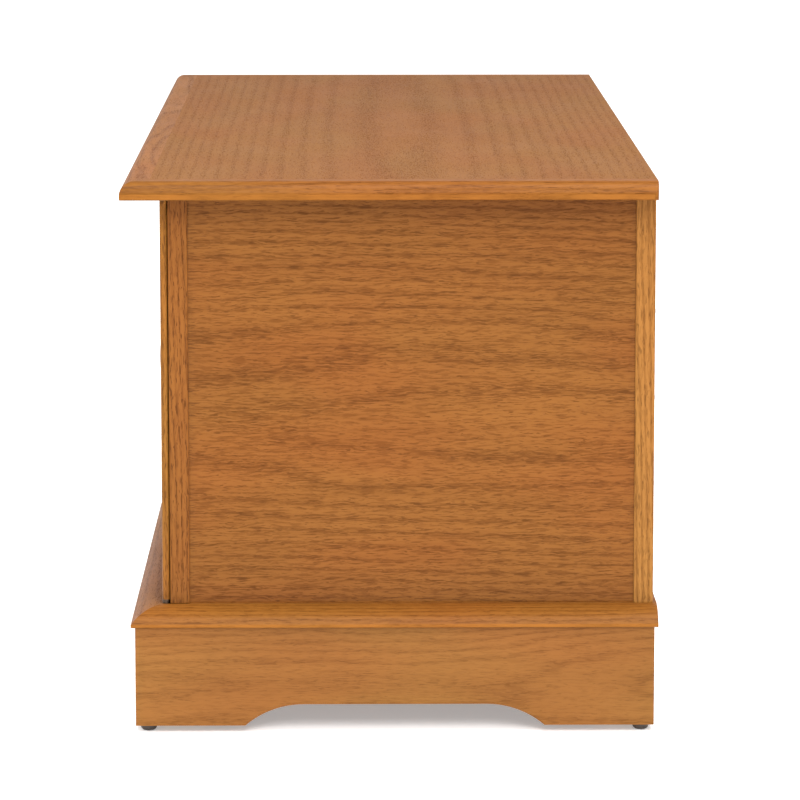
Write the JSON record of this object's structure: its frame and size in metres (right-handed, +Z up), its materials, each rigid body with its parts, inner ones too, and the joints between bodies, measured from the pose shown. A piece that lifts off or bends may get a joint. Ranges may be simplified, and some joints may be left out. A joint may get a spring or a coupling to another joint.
{
  "type": "media cabinet",
  "caption": "Low oak media cabinet with a moulded top, framed ends, raised-panel doors either side of an open niche over a drawer, and an arched plinth.",
  "frame": {"origin": "on the floor, in the middle of the cabinet's outer box", "axes": "+X along the length to the right-hand end as seen from the front, -Y out of the front, +Z up"},
  "size_m": [1.219, 0.5156, 0.5365],
  "materials": {
    "oak_top": "satin lacquer over honey oak veneer",
    "oak_edging": "satin lacquer over honey oak, moulded",
    "oak_deck": "satin lacquer over honey oak",
    "oak_moulding": "satin lacquer over honey oak, moulded",
    "oak_plinth": "satin lacquer over honey oak",
    "oak_stile": "satin lacquer over honey oak",
    "oak_rail": "satin lacquer over honey oak",
    "oak_rear_stile": "satin lacquer over honey oak",
    "oak_end_panel": "satin lacquer over open-grained honey oak",
    "oak_door_panel": "satin lacquer over open-grained honey oak",
    "oak_front": "satin lacquer over honey oak",
    "oak_divider": "satin lacquer over oak veneer",
    "oak_shelf": "satin lacquer over oak veneer",
    "oak_plywood": "thin oak-faced plywood",
    "oak_knob": "satin lacquer over turned oak",
    "drawer_wood": "clear lacquer over pale hardwood",
    "pine": "bare sawn softwood",
    "glide_plastic": "dark brown plastic",
    "catch_plastic": "brown plastic",
    "zinc_steel": "zinc-plated",
    "bronzed_steel": "dark bronzed"
  },
  "bodies": {
    "cabinet": {"back_panel": "oak_plywood", "case_screws": "zinc_steel", "centre_shelf": "oak_shelf", "deck_moulding_front": "oak_moulding", "deck_moulding_left": "oak_moulding", "deck_moulding_right": "oak_moulding", "deck_panel": "oak_deck", "divider_left": "oak_divider", "divider_right": "oak_divider", "end_panel_left": "oak_end_panel", "end_panel_right": "oak_end_panel", "floor_glides": "glide_plastic", "front_rail_bottom": "oak_rail", "front_rail_middle": "oak_rail", "front_rail_top": "oak_rail", "front_stile_left": "oak_stile", "front_stile_right": "oak_stile", "glue_blocks": "pine", "inner_stile_left": "oak_stile", "inner_stile_right": "oak_stile", "magnetic_catches": "catch_plastic", "pivot_plates": "bronzed_steel", "plinth_back": "oak_plinth", "plinth_front": "oak_plinth", "plinth_left": "oak_plinth", "plinth_right": "oak_plinth", "rear_stile_left": "oak_rear_stile", "rear_stile_right": "oak_rear_stile", "shelf_pins": "zinc_steel", "side_shelf_left": "oak_shelf", "side_shelf_right": "oak_shelf", "slide_outer_members": "zinc_steel", "top_edging_front": "oak_edging", "top_edging_left": "oak_edging", "top_edging_right": "oak_edging", "top_panel": "oak_top"},
    "door_left": {"door_left_bottom_rail": "oak_rail", "door_left_free_stile": "oak_stile", "door_left_hinge_stile": "oak_stile", "door_left_knob": "oak_knob", "door_left_panel": "oak_door_panel", "door_left_pivot_leaves": "bronzed_steel", "door_left_strike_plate": "zinc_steel", "door_left_top_rail": "oak_rail"},
    "door_right": {"door_right_bottom_rail": "oak_rail", "door_right_free_stile": "oak_stile", "door_right_hinge_stile": "oak_stile", "door_right_knob": "oak_knob", "door_right_panel": "oak_door_panel", "door_right_pivot_leaves": "bronzed_steel", "door_right_strike_plate": "zinc_steel", "door_right_top_rail": "oak_rail"},
    "drawer": {"drawer_back": "drawer_wood", "drawer_bottom": "oak_plywood", "drawer_front": "oak_front", "drawer_knobs": "oak_knob", "drawer_side_left": "drawer_wood", "drawer_side_right": "drawer_wood", "slide_inner_members": "zinc_steel"},
    "slide_middles": {"slide_middle_members": "zinc_steel"}
  },
  "joints": [
    {"name": "right_door_hinge", "type": "hinge", "parent": "cabinet", "child": "door_right", "pos_m": [0.569, -0.21785, 0.122], "axis": [0, 0, 1], "range_deg": [0, 110]},
    {"name": "left_door_hinge", "type": "hinge", "parent": "cabinet", "child": "door_left", "pos_m": [-0.569, -0.21785, 0.122], "axis": [0, 0, -1], "range_deg": [0, 110]},
    {"name": "drawer_slide", "type": "slide", "parent": "cabinet", "child": "drawer", "axis": [0, -1, 0], "range_m": [0, 0.3]},
    {"name": "slide_middle_slide", "type": "slide", "parent": "cabinet", "child": "slide_middles", "axis": [0, -1, 0], "range_m": [0, 0.15]}
  ],
  "couplings": [
    {"joint": "slide_middle_slide", "follows": "drawer_slide", "ratio": 0.5}
  ]
}
